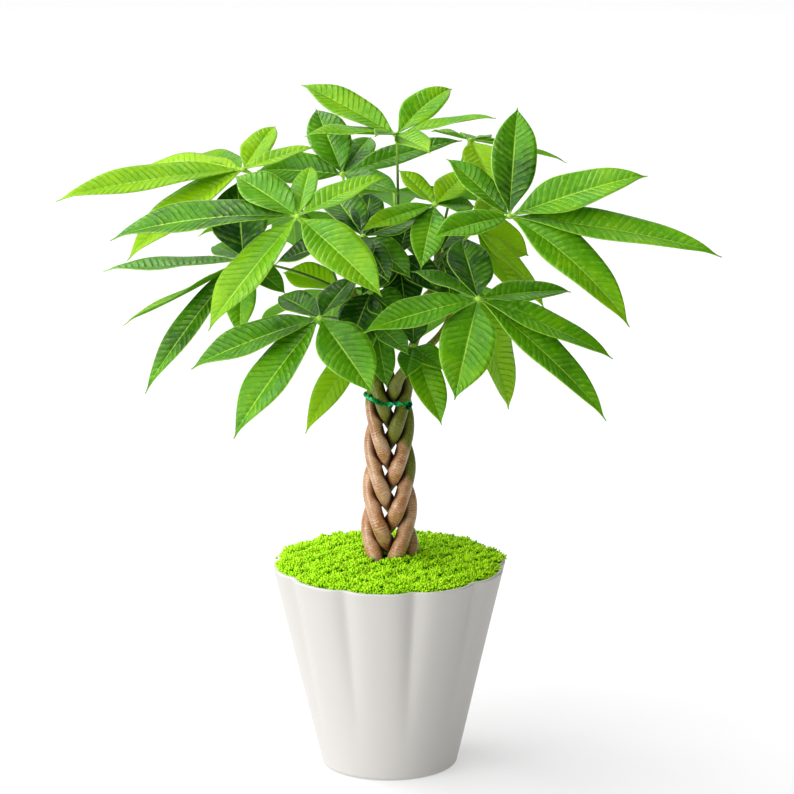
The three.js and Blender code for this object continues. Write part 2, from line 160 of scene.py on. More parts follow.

# Each leaf: its stem, how far up the shoot its stalk starts, its hub, how its face leans
# from straight up, how yellow it is, and its leaflets as tip x, y, z and width, with a
# leaflet's own further yellowness, its further lean to the back and its own arch where
# they differ. The yellowness also paints light and shade: it is lower for painted shade
# on the inner leaves and higher for painted light through leaves lit from behind
LEAVES = {
    "front_left": (3, 0.94, (-0.038, -0.045, 0.252), (-0.25, -0.4), 0.55, (
        (-0.117, -0.040, 0.242, 0.022, -0.4, 0, 0.045),
        (-0.075, -0.075, 0.211, 0.022, 0.15),
        (-0.003, -0.078, 0.226, 0.022, 0.08),
        (-0.001, -0.028, 0.266, 0.016),
        (-0.033, -0.015, 0.268, 0.012),
        (-0.065, -0.022, 0.265, 0.019, -0.15),
    )),
    "far_left": (2, 0.92, (-0.062, 0, 0.263), (-0.15, -0.5), 0.85, (
        (-0.141, -0.012, 0.253, 0.018, 0, 0, 0.022),
        (-0.111, -0.022, 0.229, 0.020, 0.15, 0, 0.045),
        (-0.106, 0.030, 0.259, 0.019, 0.5, 0.4),
        (-0.084, 0.045, 0.261, 0.014, -0.25, 0.4),
        (-0.049, 0.028, 0.277, 0.014),
        (-0.032, 0.005, 0.272, 0.009),
    )),
    "top": (4, 0.97, (0.003, 0.010, 0.276), (0, -0.6), 0.65, (
        (-0.038, 0.035, 0.294, 0.016, 0, 0, 0.01),
        (-0.036, 0, 0.278, 0.016, 0, 0.55),
        (-0.006, -0.022, 0.282, 0.009),
        (0.017, -0.018, 0.274, 0.013),
        (0.045, 0.005, 0.285, 0.011, 0, 0.45),
        (0.027, 0.035, 0.292, 0.016, 0, 0, 0.06),
    )),
    "high_left": (2, 0.8, (-0.020, 0.020, 0.257), (-0.1, -0.7), 0.25, (
        (-0.032, 0.047, 0.281, 0.019),
        (-0.008, 0.050, 0.268, 0.015),
        (0.031, 0.022, 0.272, 0.012),
        (-0.057, 0.025, 0.258, 0.019),
        (0.004, -0.005, 0.254, 0.013),
    )),
    "high_right": (5, 0.96, (0.035, 0.035, 0.269), (0.1, 0.15), 0.65, (
        (0.018, 0.042, 0.272, 0.012),
        (0.040, 0.075, 0.262, 0.014),
        (0.062, 0.068, 0.260, 0.012),
        (0.077, 0.045, 0.258, 0.011),
        (0.044, 0.012, 0.253, 0.017, 0.8, -0.5),
    )),
    "front_right": (5, 0.9, (0.050, -0.035, 0.250), (0.15, -0.6), 0.5, (
        (0.054, -0.005, 0.291, 0.020, -0.25),
        (0.108, -0.025, 0.266, 0.021),
        (0.139, -0.040, 0.235, 0.018, 0, 0, 0.025),
        (0.100, -0.060, 0.209, 0.023, 0.05, 0, 0.075),
        (0.018, -0.062, 0.247, 0.015, -0.1),
        (0.024, -0.020, 0.272, 0.014, -0.3),
    )),
    "low_right": (1, 0.94, (0.037, -0.045, 0.217), (0.2, -0.55), 0.35, (
        (-0.011, -0.062, 0.207, 0.017),
        (0.027, -0.070, 0.180, 0.024, 0.1),
        (0.051, -0.035, 0.167, 0.021, 1.4),
        (0.091, -0.060, 0.169, 0.019, 0, 0, 0.045),
        (0.094, -0.045, 0.192, 0.016),
        (0.077, -0.020, 0.215, 0.013),
        (0.030, -0.012, 0.236, 0.020, -0.35),
        (0.009, -0.030, 0.226, 0.012, -0.1, 0.3),
    )),
    "low_left": (3, 0.62, (-0.029, -0.050, 0.210), (-0.2, -0.5), 0.25, (
        (-0.083, -0.055, 0.190, 0.020, 0, 0, 0.025),
        (-0.065, -0.075, 0.165, 0.021, 0.15, 0, 0.035),
        (-0.007, -0.075, 0.184, 0.023, 0.1),
        (-0.047, -0.020, 0.213, 0.014, -0.25),
        (-0.015, -0.020, 0.221, 0.014, -0.25),
    )),
    "side_left": (2, 0.64, (-0.062, -0.010, 0.226), (-0.2, -0.55), 0.3, (
        (-0.123, 0.010, 0.218, 0.015, 0, 0.45, -0.01),
        (-0.113, -0.025, 0.202, 0.014, 0.3, 0.75, -0.02),
        (-0.104, -0.030, 0.173, 0.014, -0.1, 0, 0.04),
        (-0.063, -0.035, 0.198, 0.014, 0.1),
        (-0.076, 0.020, 0.226, 0.012),
        (-0.065, 0.012, 0.256, 0.026, -0.4),
        (-0.044, -0.012, 0.212, 0.013, -0.2),
    )),
    "middle": (3, 0.8, (-0.011, -0.024, 0.239), (0, -0.5), 0, (
        (0.009, -0.035, 0.224, 0.016, 0.1),
        (0, -0.049, 0.225, 0.012),
        (-0.014, -0.052, 0.232, 0.013),
        (-0.050, 0.006, 0.221, 0.021, -0.3),
        (-0.027, 0.010, 0.254, 0.018),
        (-0.008, 0.006, 0.252, 0.015, -0.2),
        (0.012, -0.006, 0.243, 0.016),
    )),
    "inner_right": (5, 0.82, (0.019, -0.020, 0.252), (0.1, -0.5), 0.6, (
        (-0.012, -0.045, 0.246, 0.011),
        (0.013, -0.050, 0.231, 0.015, -0.2),
        (0.004, -0.005, 0.264, 0.010, 0.2),
        (0.034, 0, 0.262, 0.014, 0.3),
        (0.036, -0.008, 0.249, 0.016),
    )),
    "inner_left": (3, 0.36, (-0.006, -0.030, 0.203), (-0.1, -0.6), 0.2, (
        (-0.036, -0.040, 0.158, 0.015, 0.8),
        (-0.016, -0.040, 0.188, 0.011),
        (-0.001, -0.038, 0.177, 0.012),
        (0.008, -0.052, 0.195, 0.011),
    )),
    "low_middle": (1, 0.42, (0.010, -0.025, 0.192), (0.1, -0.7), 0.2, (
        (0.022, -0.045, 0.163, 0.015, 0.5),
        (0.007, -0.044, 0.183, 0.011),
        (0.023, -0.034, 0.184, 0.012, 0.2),
        (0.010, -0.020, 0.211, 0.013, -0.3),
    )),
    "inner_middle": (4, 0.86, (0.004, -0.001, 0.226), (0, -0.6), -0.2, (
        (0.007, -0.016, 0.203, 0.018),
        (0.022, -0.012, 0.212, 0.016),
        (-0.012, -0.014, 0.212, 0.016),
        (-0.004, 0.008, 0.237, 0.012),
        (0.010, 0.012, 0.245, 0.015),
    )),
    "inner_back": (5, 0.55, (0.022, 0.028, 0.222), (0.1, -0.6), -0.15, (
        (0.004, 0.026, 0.226, 0.018),
        (0.027, 0.022, 0.200, 0.020),
        (0.047, 0.036, 0.215, 0.017, 0.3),
        (0.032, 0.044, 0.233, 0.015),
    )),
    "inner_low": (3, 0.5, (-0.008, -0.024, 0.215), (-0.1, -0.6), 0, (
        (-0.016, -0.038, 0.197, 0.020),
        (0.004, -0.033, 0.206, 0.017),
        (-0.002, -0.012, 0.224, 0.011),
    )),
    "side_right": (5, 0.66, (0.037, 0.014, 0.234), (0.35, -0.9), 1.7, (
        (0.060, 0.018, 0.222, 0.020),
        (0.055, 0.016, 0.205, 0.013),
        (0.068, 0.030, 0.196, 0.013),
        (0.060, -0.002, 0.215, 0.009, -0.6, 0.4),
        (0.050, 0.050, 0.244, 0.014, -0.3),
    )),
    "back": (4, 0.82, (0.002, 0.056, 0.243), (0, 0.45), 0.45, (
        (-0.040, 0.062, 0.236, 0.018),
        (-0.028, 0.098, 0.226, 0.020),
        (0.004, 0.113, 0.222, 0.022),
        (0.034, 0.098, 0.226, 0.020),
        (0.042, 0.064, 0.236, 0.017),
    )),
    "back_left": (2, 0.48, (-0.042, 0.046, 0.234), (-0.3, 0.3), 0.5, (
        (-0.072, 0.026, 0.230, 0.015),
        (-0.084, 0.052, 0.224, 0.018),
        (-0.072, 0.084, 0.212, 0.020),
        (-0.042, 0.092, 0.210, 0.020),
        (-0.018, 0.072, 0.220, 0.017),
    )),
    "low_back_left": (4, 0.55, (-0.022, 0.042, 0.202), (-0.2, 0.4), 0.35, (
        (-0.047, 0.058, 0.206, 0.017, 1.4, -0.9),
        (-0.058, 0.062, 0.182, 0.020),
        (-0.028, 0.086, 0.172, 0.022),
        (0.002, 0.074, 0.180, 0.020),
        (0.004, 0.044, 0.190, 0.013),
    )),
    "low_back_right": (5, 0.4, (0.030, 0.044, 0.204), (0.2, 0.4), 0.4, (
        (0.013, 0.058, 0.176, 0.020),
        (0.028, 0.092, 0.176, 0.022),
        (0.058, 0.078, 0.178, 0.020),
        (0.064, 0.048, 0.188, 0.017),
        (0.044, 0.020, 0.196, 0.012),
    )),
}

# Each light: the setting that holds its strength, its kind, its place and its size, which
# is an angle for a sun
LIGHTS = (
    ("key", "SUN", (-1.3, -0.8, 2.0), math.radians(85)),
    ("side", "AREA", (-1.5, -1.1, 0.45), 0.6),
    ("top", "AREA", (-0.95, 0.6, 1.4), 1.0),
    ("back", "AREA", (0.1, 1.65, 1.22), 1.2),
)
LIGHT_AIM = (0, 0, 0.17)

# Camera, measured in the picture's own frame
PICTURE_SIDE = 794
FOCAL_PIXELS = 4560
AIM_PIXEL = (389.5, 428)
SENSOR_WIDTH = 36


# Sizes and colours that a user may change

def length(name, default, description):
    return FloatProperty(name=name, default=default, description=description, unit="LENGTH")


def share(name, default, description):
    return FloatProperty(name=name, default=default, description=description, subtype="FACTOR")


def colour(name, default, painted):
    description = f"Colour of {painted}"
    return FloatVectorProperty(
        name=name, default=default, description=description, subtype="COLOR", min=0, max=1
    )


def strength(name, default, description):
    return FloatProperty(name=name, default=default, description=description, min=0)


class PotSettings(bpy.types.PropertyGroup):
    mouth_diameter: length("Mouth diameter", 0.1016, "Width of the mouth over its lobes")
    base_diameter: length("Base diameter", 0.0584, "Width of the round base")
    wall: length("Wall", 0.002, "Thickness of the wall")
    scallop_depth: length("Scallop depth", 0.0026, "How far the valleys cut in at the mouth")
    plastic: colour("Plastic", (0.545, 0.529, 0.502), "the matte plastic")


class SoilSettings(bpy.types.PropertyGroup):
    wet: colour("Wet soil", (0.022, 0.012, 0.007), "the darkest crumbs")
    dry: colour("Dry soil", (0.11, 0.062, 0.034), "the lightest crumbs")


class MossSettings(bpy.types.PropertyGroup):
    spacing: length("Spacing", 0.00146, "Distance between tufts")
    tuft: length("Tuft", 0.00125, "Half width of a tuft")
    mound: length("Mound", 0.0016, "How far the moss rises to the trunk")
    overhang: length("Overhang", 0.0023, "How far tufts reach over the rim")
    tips: colour("Tips", (0.50, 0.98, 0.001), "the tufts' tips")
    # This colour is painted shade: the dark green of the gaps between tufts and of their roots
    roots: colour("Roots", (0.03, 0.26, 0.001), "the gaps between tufts")


class StemSettings(bpy.types.PropertyGroup):
    foot_radius: length("Foot radius", 0.00355, "Radius of a stem at the moss")
    top_radius: length("Top radius", 0.0029, "Radius of a stem at the top of the braid")
    tip_radius: length("Tip radius", 0.0012, "Radius of a shoot's tip")
    ring_spacing: length("Ring spacing", 0.0009, "Distance between the bark's rings")
    ring_relief: length("Ring relief", 0.00003, "Height of the bark's rings")
    bark: colour("Bark", (0.4, 0.16, 0.048), "the bark")
    ridge: colour("Ridge", (0.88, 0.66, 0.44), "the bark's rings")
    # This colour paints the worn stains, and the first, warm step of the shade painted between
    # stems
    warm_stain_and_shade: colour("Warm bark", (0.25, 0.07, 0.01), "the bark between stems")
    # This colour paints the cracks, and the darkest shade painted between stems and where they go
    # into the moss
    shade: colour("Shade", (0.02, 0.007, 0.002), "the bark's stains")
    young: colour("Young bark", (0.17, 0.22, 0.004), "the shoots")


class TieSettings(bpy.types.PropertyGroup):
    width: length("Ribbon width", 0.0024, "Width of the twisted ribbon")
    thickness: length("Ribbon thickness", 0.0006, "Thickness of the twisted ribbon")
    reach: length("Reach", 0.003, "Distance from a stem's middle to the ribbon's")
    twists: IntProperty(name="Twists", default=23, min=1, description="Twists round the braid")
    foil: colour("Foil", (0.004, 0.72, 0.24), "the foil")


class LeafSettings(bpy.types.PropertyGroup):
    blade: length("Blade", 0.00035, "Thickness of a blade")
    vein_spacing: length("Vein spacing", 0.0034, "Distance between side veins on a long leaflet")
    quilt: length("Quilt", 0.00006, "Rise of the blade between two side veins")
    droop: share("Droop", 0.02, "How far the tip hangs, as a share of the leaflet's length")
    groove: length("Groove", 0.0003, "Depth of the middle vein's groove")
    stalk_radius: length("Stalk radius", 0.00058, "Radius of a leaf's stalk")
    hub_radius: length("Hub radius", 0.0015, "Radius of the knob that joins the leaflets")
    glow: share("Glow", 0.32, "Share of light that passes through a blade")
    stalk: colour("Stalk", (0.07, 0.17, 0.01), "the stalks")
    # Deep green paints the darkest leaflets, with the painted shade of the inner leaves, and the
    # painted shade in the side veins' grooves
    deep: colour("Deep green", (0.0025, 0.055, 0.0002), "the darkest leaflets")
    green: colour("Green", (0.103, 0.365, 0.001), "most leaflets")
    # Bright green paints the yellowest leaflets, with the painted light through leaves lit from
    # behind
    bright: colour("Bright green", (0.44, 0.78, 0.002), "the yellowest leaflets")
    passed: colour("Passed light", (0.22, 0.52, 0.002), "the light through a blade")
    vein: colour("Vein", (0.50, 0.82, 0.09), "veins and edges")
    underside: colour("Underside", (0.16, 0.50, 0.004), "the undersides")


class StageSettings(bpy.types.PropertyGroup):
    camera_distance: length("Camera distance", 1.9, "From the plant to the camera, level")
    camera_height: length("Camera height", 0.635, "Height of the camera above the floor")
    aim_height: length("Aim height", 0.15, "Height of the point the camera looks at")
    floor_size: length("Floor size", 16, "Width of the floor")
    floor: colour("Floor", (0.4, 0.4, 0.4), "the floor")
    glow: strength("Floor glow", 0.5, "Light from below")
    daylight: strength("Daylight", 0.15, "Even light")
    key: strength("Key light", 3.6, "Light from high on the left")
    side: strength("Side light", 10, "Light from low on the left")
    top: strength("Top light", 18, "Light from above")
    back: strength("Back light", 7, "Light from behind")


class PlantSettings(bpy.types.PropertyGroup):
    pot: PointerProperty(type=PotSettings)
    soil: PointerProperty(type=SoilSettings)
    moss: PointerProperty(type=MossSettings)
    stems: PointerProperty(type=StemSettings)
    tie: PointerProperty(type=TieSettings)
    leaves: PointerProperty(type=LeafSettings)
    stage: PointerProperty(type=StageSettings)


# Materials

class Wire:
    """A node's output, so that shader sums are written as plain expressions"""

    def __init__(self, finish, socket):
        self.finish = finish
        self.socket = socket

    def __add__(self, other):
        return self.finish.sum("ADD", self, other)

    def __sub__(self, other):
        return self.finish.sum("SUBTRACT", self, other)

    def __rsub__(self, other):
        return self.finish.sum("SUBTRACT", other, self)

    def __mul__(self, other):
        return self.finish.sum("MULTIPLY", self, other)

    __radd__ = __add__
    __rmul__ = __mul__


class Finish:
    """A material and the nodes that it is made of"""

    def __init__(self, name):
        self.material = bpy.data.materials.new(name)
        self.material.use_nodes = True
        self.tree = self.material.node_tree
        self.tree.nodes.clear()

    def node(self, kind, settings=None, sockets=None, output=0):
        """Makes a node: first its settings, then the values or links of its sockets"""
        node = self.tree.nodes.new(kind)
        for setting, value in (settings or {}).items():
            setattr(node, setting, value)
        for socket, value in (sockets or {}).items():
            if isinstance(value, Wire):
                self.tree.links.new(value.socket, node.inputs[socket])
            elif node.inputs[socket].type == "RGBA":
                node.inputs[socket].default_value = (*value, 1)
            else:
                node.inputs[socket].default_value = value
        return Wire(self, node.outputs[output]) if node.outputs else None

    def sum(self, operation, *values):
        return self.node("ShaderNodeMath", {"operation": operation}, dict(enumerate(values)))

    def mix(self, amount, first, second):
        """A colour between two others"""
        sockets = {0: amount, 6: first, 7: second}
        return self.node("ShaderNodeMix", {"data_type": "RGBA"}, sockets, 2)

    def ease(self, value, start, end):
        """Goes smoothly from 0 at start to 1 at end"""
        settings = {"interpolation_type": "SMOOTHSTEP"}
        return self.node("ShaderNodeMapRange", settings, {0: value, 1: start, 2: end})

    def place(self):
        return self.node("ShaderNodeTexCoord", output=3)

    def attribute(self, name):
        return self.node("ShaderNodeAttribute", {"attribute_name": name}, output=2)

    def axes(self, name):
        """The three numbers of a vector attribute"""
        vector = {0: self.node("ShaderNodeAttribute", {"attribute_name": name}, output=1)}
        return [self.node("ShaderNodeSeparateXYZ", None, vector, k) for k in range(3)]

    def noise(self, place, scale, detail=2.0, roughness=0.5):
        sockets = {"Vector": place, "Scale": scale, "Detail": detail, "Roughness": roughness}
        return self.node("ShaderNodeTexNoise", sockets=sockets)

    def bump(self, height, distance, amount=1.0):
        sockets = {"Height": height, "Distance": distance, "Strength": amount}
        return self.node("ShaderNodeBump", sockets=sockets)

    def surface(self, sockets, glow=None, passed=None):
        """Ends the material in a surface, which may let a share of light through, tinted"""
        shown = self.node("ShaderNodeBsdfPrincipled", sockets=sockets)
        if glow:
            through = self.node("ShaderNodeBsdfTranslucent", sockets={"Color": passed})
            shown = self.node("ShaderNodeMixShader", sockets={0: glow, 1: shown, 2: through})
        self.node("ShaderNodeOutputMaterial", sockets={"Surface": shown})
        return self.material


def pot_finish(settings):
    finish = Finish("matte_pot")
    place = finish.place()
    cloud = finish.noise(place, 18, 3)
    grain = finish.noise(place, 1400, 2)
    tint = finish.mix(cloud, [c * 0.985 for c in settings.plastic], settings.plastic)
    return finish.surface({
        "Base Color": tint,
        "Roughness": 0.42 + 0.1 * cloud,
        "Normal": finish.bump(grain, 0.00004, 0.35),
        "Specular IOR Level": 0.4,
    })


def soil_finish(settings):
    finish = Finish("potting_mix")
    place = finish.place()
    crumbs = finish.noise(place, 420, 6, 0.65)
    return finish.surface({
        "Base Color": finish.mix(finish.ease(crumbs, 0.35, 0.7), settings.wet, settings.dry),
        "Roughness": 0.95,
        "Normal": finish.bump(crumbs, 0.0012),
    })


def moss_finish(settings):
    finish = Finish("lime_moss")
    place = finish.place()
    height = finish.attribute("height")
    shade = finish.attribute("shade")
    patch = finish.ease(finish.noise(place, 120, 3), 0.35, 0.7)
    # Painted light and shade: each tuft is lighter towards its tip and darker at its root and in
    # the gaps, varied by its random tone, random patches and the shade painted round the trunk
    lit = finish.ease(height * 0.9 + shade * 0.3 + patch * 0.25, 0.1, 0.72)
    young = [min(1, c * 1.25 + 0.02) for c in settings.tips]
    tips = finish.mix(shade, settings.tips, young)
    fuzz = finish.noise(place, 2600, 2)
    tint = finish.mix(lit, settings.roots, tips)
    return finish.surface(
        {
            "Base Color": tint,
            "Roughness": 0.7,
            "Normal": finish.bump(fuzz, 0.0003, 0.6),
            "Specular IOR Level": 0.25,
        },
        0.2 * lit,
        settings.tips,
    )


def bark_finish(settings):
    finish = Finish("ringed_bark")
    place = finish.place()
    rings, youth, crevice_shade = finish.axes("bark")
    blotch = finish.noise(place, 150, 4, 0.6)
    speckle = finish.noise(place, 1100, 3, 0.6)
    wave = finish.sum("COSINE", rings * TURN)
    worn = finish.noise(place, 420, 3, 0.6)
    # Rings lie where the wave is high, and cracks where it is low
    ring = finish.ease(wave + (speckle - 0.5) * 5 + (worn - 0.5) * 4, 0.6, 1.6)
    crack = finish.ease(wave * -1.0 + (speckle - 0.5) * 5 - (worn - 0.5) * 4, 0.9, 1.9)
    wood = finish.mix(finish.ease(blotch, 0.35, 0.7) * 0.4, settings.bark, settings.ridge)
    wood = finish.mix(finish.ease(worn, 0.5, 0.7) * 0.5, wood, settings.warm_stain_and_shade)
    light = finish.sum("MAXIMUM", ring * 0.5, finish.ease(speckle, 0.58, 0.72) * 0.6)
    wood = finish.mix(light, wood, settings.ridge)
    # Painted shade where stems lie close together and where they go into the moss: first warm,
    # then dark below
    wood = finish.mix(finish.ease(crevice_shade, 0.0, 0.5) * 0.75, wood, settings.warm_stain_and_shade)
    dull = [c * 0.5 for c in settings.young]
    skin = finish.mix(finish.ease(speckle, 0.3, 0.75), dull, settings.young)
    green = finish.ease(youth + (blotch - 0.5) * 0.5, 0.2, 0.8)
    bark = finish.mix(green * 0.92, wood, skin)
    bark = finish.mix(crack * 0.5, bark, settings.shade)
    # The darkest step of the painted shade between stems
    bark = finish.mix(finish.ease(crevice_shade, 0.1, 0.7) * 0.97, bark, settings.shade)
    return finish.surface({
        "Base Color": bark,
        "Roughness": 0.5 + 0.2 * speckle,
        "Normal": finish.bump(speckle + ring * 0.4, 0.00016, 0.8),
        "Specular IOR Level": 0.2,
        "Coat Weight": (1 - crevice_shade) * (1 - green * 0.6),
        "Coat Roughness": 0.25,
    })


def foil_finish(settings):
    finish = Finish("green_foil")
    place = finish.place()
    crease = finish.noise(place, 1500, 3, 0.6)
    glint = finish.ease(crease, 0.4, 0.65)
    return finish.surface({
        "Base Color": finish.mix(glint, [c * 0.45 for c in settings.foil], settings.foil),
        "Roughness": 0.16 + 0.2 * crease,
        "Metallic": 0.35,
        "Normal": finish.bump(crease, 0.0002, 0.8),
    })


def leaf_finish(settings):
    finish = Finish("leaf_skin")
    place = finish.place()
    across, veins, along = finish.axes("blade")
    tone = finish.attribute("tone")
    under = finish.attribute("under")
    aside = finish.sum("ABSOLUTE", across)
    patches = finish.noise(place, 60, 3)
    drift = finish.noise(place, 70, 2)
    faint = finish.ease(finish.noise(place, 160, 2), 0.35, 0.65)
    fleck = finish.noise(place, 420, 3, 0.6)
    fibre = finish.noise(place, 1500, 3, 0.6)
    # Painted shade in the grooves of the side veins, and painted sheen on the raised crests
    # between them, with painted glints here and there
    from_vein = finish.sum("FRACT", veins + (drift - 0.5) * 1.1)
    line = 1 - finish.ease(from_vein, 0.0, 0.14) + finish.ease(from_vein, 0.94, 1.0)
    crest = finish.ease(from_vein, 0.06, 0.3) - finish.ease(from_vein, 0.35, 0.95)
    glint = finish.ease(crest, 0.55, 1.0) * finish.ease(fleck, 0.53, 0.64)
    width = 0.022 + 0.03 * along
    middle_vein = 1 - finish.ease(aside, width * 0.6, width)
    foot = 1 - finish.ease(along, 0.01, 0.06)
    edge = finish.ease(aside, 0.95, 0.985)
    # Yellowness, with random patches and more towards the tip; it also carries the painted shade
    # of inner leaves and the painted light through backlit ones
    yellow_and_light = tone + (patches - 0.5) * 1.1 + (fleck - 0.5) * 0.5 + along * 0.25 - 0.1
    fresh, golden = finish.ease(yellow_and_light, -0.2, 0.6), finish.ease(yellow_and_light, 0.4, 1.3)
    green = finish.mix(golden, finish.mix(fresh, settings.deep, settings.green), settings.bright)
    calm = (1 - under * 0.8) * (1 - 0.75 * finish.ease(yellow_and_light, 0.9, 1.6))
    # The painted shade of the vein grooves, fainter on undersides and on the yellowest leaflets
    shade = finish.mix(line * (0.06 + 0.26 * faint) * calm, green, settings.deep)
    # Painted sheen on the crests and painted glints, in the vein colour
    shade = finish.mix(crest * faint * 0.12 + glint * 0.2, shade, settings.vein)
    lines = finish.sum("MAXIMUM", middle_vein, finish.sum("MAXIMUM", foot, edge * 0.8))
    top = finish.mix(lines * 0.8, shade, settings.vein)
    back = finish.mix(finish.ease(yellow_and_light, 0.6, 1.6), settings.underside, settings.bright)
    back = finish.mix(middle_vein * 0.6, back, settings.vein)
    tint = finish.mix(under * 0.5, top, back)
    # Along is below 0 on a stalk
    tint = finish.mix(finish.ease(along, -0.05, -0.5), tint, settings.stalk)
    relief = (crest * 0.6 - line * 0.4) * (0.3 + 0.7 * faint) + fibre * 0.1 + fleck * 1.3
    return finish.surface(
        {
            "Base Color": tint,
            "Roughness": 0.23 + 0.12 * fibre - 0.12 * glint + 0.4 * under,
            "Normal": finish.bump(relief, 0.0004, 0.75),
            "Specular IOR Level": 0.25,
        },
        settings.glow * (0.15 + 0.6 * fresh + 0.55 * golden),
        settings.passed,
    )


def floor_finish(settings):
    finish = Finish("pale_floor")
    cloud = finish.noise(finish.place(), 3, 2)
    tint = finish.mix(cloud, [c * 0.99 for c in settings.floor], settings.floor)
    return finish.surface({
        "Base Color": tint,
        "Roughness": 0.8,
        "Specular IOR Level": 0.1,
        "Emission Color": (1, 1, 1),
        "Emission Strength": settings.glow,
    })


# Shared modelling steps

def deselect():
    bpy.ops.object.select_all(action="DESELECT")


def select(*pieces):
    """Selects these pieces alone, the first of them active"""
    deselect()
    for piece in pieces:
        piece.select_set(True)
    bpy.context.view_layer.objects.active = pieces[0]


def points_of(piece):
    flat = np.empty(3 * len(piece.data.vertices), np.float32)
    piece.data.vertices.foreach_get("co", flat)
    return flat.reshape(-1, 3).astype(float)


def move_points(piece, points):
    piece.data.vertices.foreach_set("co", np.asarray(points, np.float32).ravel())
    piece.data.update()


def write_attribute(piece, name, values):
    """Keeps a number, or three, at each point of a piece, for its material to read"""
    values = np.asarray(values, np.float32)
    if values.ndim == 0:
        values = np.full(len(piece.data.vertices), values)
    kind, field = ("FLOAT", "value") if values.ndim == 1 else ("FLOAT_VECTOR", "vector")
    attribute = piece.data.attributes.new(name, kind, "POINT")
    attribute.data.foreach_set(field, values.ravel())


def grid(columns, rows):
    """A flat grid from -1 to 1 both ways, still to be bent to shape"""
    deselect()
    bpy.ops.mesh.primitive_grid_add(x_subdivisions=columns, y_subdivisions=rows, size=2)
    return bpy.context.object


def thicken(piece, thickness, offset):
    """Gives a sheet its thickness, below it with an offset of -1 and on both sides with 0"""
    modifier = piece.modifiers.new("Thickness", "SOLIDIFY")
    modifier.thickness = thickness
    modifier.offset = offset
    bpy.context.view_layer.objects.active = piece
    bpy.ops.object.modifier_apply(modifier=modifier.name)


def join(pieces, name):
    """Joins pieces into the first of them"""
    select(*pieces)
    if len(pieces) > 1:
        bpy.ops.object.join()
    pieces[0].name = name
    pieces[0].data.name = name
    return pieces[0]


def finish_piece(piece, material, slot, *nodes, smooth=math.pi):
    """Smooths and paints a piece, and puts it in the place of its nodes"""
    select(piece)
    bpy.ops.object.shade_smooth_by_angle(angle=smooth)
    piece.data.materials.clear()
    piece.data.materials.append(material)
    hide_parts(*nodes)
    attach(piece, "root")


def tube(name, centres, radii, sides):
    """A bar along its centres, drawn as a bevelled curve and made a mesh, ring by ring"""
    deselect()
    bpy.ops.curve.primitive_nurbs_path_add()
    path = bpy.context.object
    path.name = name
    path.data.splines.clear()
    line = path.data.splines.new("POLY")
    line.points.add(len(centres) - 1)
    for point, centre, radius in zip(line.points, centres, radii):
        point.co = (*centre, 1)
        point.radius = radius
    path.data.bevel_depth = 1
    path.data.bevel_resolution = sides // 2 - 2
    bpy.ops.object.convert(target="MESH")
    bpy.ops.object.mode_set(mode="EDIT")
    bpy.ops.mesh.select_all(action="SELECT")
    bpy.ops.mesh.fill_holes(sides=0)
    bpy.ops.mesh.normals_make_consistent(inside=False)
    bpy.ops.object.mode_set(mode="OBJECT")
    return path


def lengths(vectors):
    return np.linalg.norm(vectors, axis=-1)


def travelled(points):
    """How far along a line each of its points lies"""
    return np.concatenate([[0], np.cumsum(lengths(np.diff(points, axis=0)))])


def along_line(points, shares):
    """Points at shares of a line's length"""
    places = travelled(points)
    wanted = np.asarray(shares) * places[-1]
    return np.stack([np.interp(wanted, places, points[:, k]) for k in range(3)], axis=-1)


def turned(first, second, angle):
    """Two of a point's axes after a turn from the first to the second"""
    cos, sin = np.cos(angle), np.sin(angle)
    return first * cos - second * sin, first * sin + second * cos


def facing(place, target):
    """The turn of a lamp or a camera that looks from place at target"""
    return (Vector(target) - Vector(place)).to_track_quat("-Z", "Y").to_euler()


def bezier(knots, shares):
    """Points of a Bezier curve of any degree"""
    shares = np.asarray(shares)[:, None]
    points = [np.asarray(knot, float)[None, :] for knot in knots]
    while len(points) > 1:
        points = [a + (b - a) * shares for a, b in zip(points, points[1:])]
    return points[0]


def smooth_line(knots, x):
    """A smooth line through knots, read at x"""
    xs, ys = np.array(knots, float).T
    slopes = np.gradient(ys, xs)
    left = np.clip(np.searchsorted(xs, x) - 1, 0, len(xs) - 2)
    span = xs[left + 1] - xs[left]
    t = (x - xs[left]) / span
    start = (1 + 2 * t) * (1 - t) ** 2 * ys[left] + t * (1 - t) ** 2 * span * slopes[left]
    end = t**2 * (3 - 2 * t) * ys[left + 1] + t**2 * (t - 1) * span * slopes[left + 1]
    return start + end


def smoothstep(value, start, end):
    t = np.clip((value - start) / (end - start), 0, 1)
    return t * t * (3 - 2 * t)


# Pot

def valley(angle):
    """How deep the scallops cut in at an angle, 0 on a lobe and 1 in a valley"""
    lobes = (angle - FRONT_VALLEY) / TURN * LOBE_COUNT
    aside = np.hypot((lobes - np.round(lobes)) * 2, VALLEY_ROUND) - VALLEY_ROUND
    return (1 - aside / (math.hypot(1, VALLEY_ROUND) - VALLEY_ROUND)) ** LOBE_SHARPNESS


def pot_round(settings, height):
    """Radius of the pot over its lobes"""
    share_up = height / POT_TOP
    base, mouth = settings.base_diameter / 2, settings.mouth_diameter / 2
    return base + (mouth - base) * share_up


def scallop(settings, height, angle):
    """How far the outline lies inside the lobes' circle"""
    return settings.scallop_depth * smoothstep(height, LOBE_FADE_START, POT_TOP) * valley(angle)


